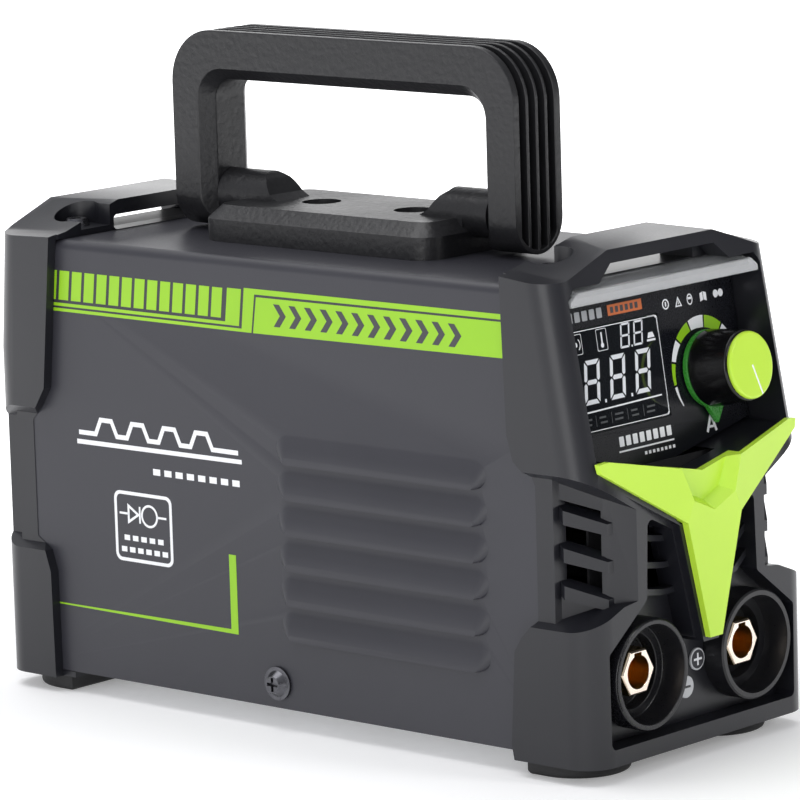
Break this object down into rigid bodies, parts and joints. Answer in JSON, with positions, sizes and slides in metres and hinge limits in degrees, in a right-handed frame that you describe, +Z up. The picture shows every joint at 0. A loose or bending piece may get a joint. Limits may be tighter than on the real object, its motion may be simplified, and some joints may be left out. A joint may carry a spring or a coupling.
{
  "type": "stick welding inverter",
  "caption": "Portable stick welding inverter with folding carry handle, sheet cover, moulded end bezels, display, current knob and twin output sockets.",
  "frame": {"origin": "on the ground under the middle of the bounding box", "axes": "+Z up, sockets and control panel face -Y, +X to the right seen from the front"},
  "size_m": [0.105, 0.2539, 0.2115],
  "materials": {
    "cover_paint": "satin graphite powder coat",
    "zinc_steel": "zinc-plated sheet",
    "bezel_plastic": "satin black moulded plastic",
    "lime_plastic": "lime moulded plastic",
    "green_plastic": "green moulded plastic",
    "clear_plastic": "clear polycarbonate",
    "panel_print": "printed black overlay",
    "display_glass": "dark display window",
    "dark_plastic": "black plastic",
    "circuit_board": "green circuit board",
    "knob_plastic": "black moulded plastic",
    "steel": "plated steel",
    "collar_plastic": "black glass-filled nylon",
    "brass": "machined brass",
    "white_plastic": "light grey marker",
    "guard_wire": "plated wire",
    "rocker_green": "black rocker",
    "foot_rubber": "black rubber",
    "black_screw": "black oxide steel",
    "handle_plastic": "fine-grained black plastic",
    "aluminium": "extruded aluminium",
    "ferrite": "ferrite",
    "copper_winding": "enamelled copper winding in tape",
    "capacitor_sleeve": "shrink sleeve",
    "copper": "copper strap"
  },
  "bodies": {
    "case": {"base_tray": "zinc_steel", "board_standoffs": "brass", "bulk_capacitors": "capacitor_sleeve", "busbar_minus": "copper", "busbar_plus": "copper", "clear_visor": "clear_plastic", "control_board": "circuit_board", "display_module": "dark_plastic", "display_window": "display_glass", "dust_filter": "dark_plastic", "fan_frame": "dark_plastic", "fan_guard": "guard_wire", "fan_guard_screws": "steel", "feet": "foot_rubber", "front_bezel": "bezel_plastic", "gland_body": "dark_plastic", "gland_nut": "dark_plastic", "handle_base": "handle_plastic", "handle_pins": "steel", "handle_screws": "black_screw", "heatsink_left": "aluminium", "heatsink_right": "aluminium", "main_board": "circuit_board", "panel_overlay": "panel_print", "polarity_discs": "white_plastic", "potentiometer": "zinc_steel", "power_transistors": "dark_plastic", "rear_bezel": "bezel_plastic", "rectifier_bridge": "dark_plastic", "rocker_frame": "dark_plastic", "sheet_cover": "cover_paint", "shoulder_screws": "black_screw", "side_screws": "black_screw", "socket_collar_minus": "collar_plastic", "socket_collar_plus": "collar_plastic", "socket_insert_minus": "brass", "socket_insert_plus": "brass", "socket_nuts": "steel", "transformer_core": "ferrite", "transformer_winding": "copper_winding", "v_trim": "lime_plastic"},
    "handle": {"handle_grip": "handle_plastic"},
    "knob": {"knob_body": "knob_plastic", "knob_cap": "lime_plastic", "knob_skirt": "green_plastic", "knob_shaft": "steel"},
    "fan_rotor": {"fan_rotor": "dark_plastic"},
    "rocker": {"rocker_button": "rocker_green"}
  },
  "joints": [
    {"name": "handle_fold", "type": "hinge", "parent": "case", "child": "handle", "pos_m": [0, 0.0108, 0.159], "axis": [0, 1, 0], "range_deg": [-90, 90]},
    {"name": "knob_turn", "type": "hinge", "parent": "case", "child": "knob", "pos_m": [0.0273, -0.10149, 0.1125], "axis": [0, -0.989, 0.1478], "range_deg": [0, 300]},
    {"name": "fan_spin", "type": "hinge", "parent": "case", "child": "fan_rotor", "pos_m": [0, 0.1005, 0.054], "axis": [0, 1, 0], "continuous": true},
    {"name": "rocker_tilt", "type": "hinge", "parent": "case", "child": "rocker", "pos_m": [-0.02, 0.1145, 0.118], "axis": [1, 0, 0], "range_deg": [-20, 0]}
  ]
}
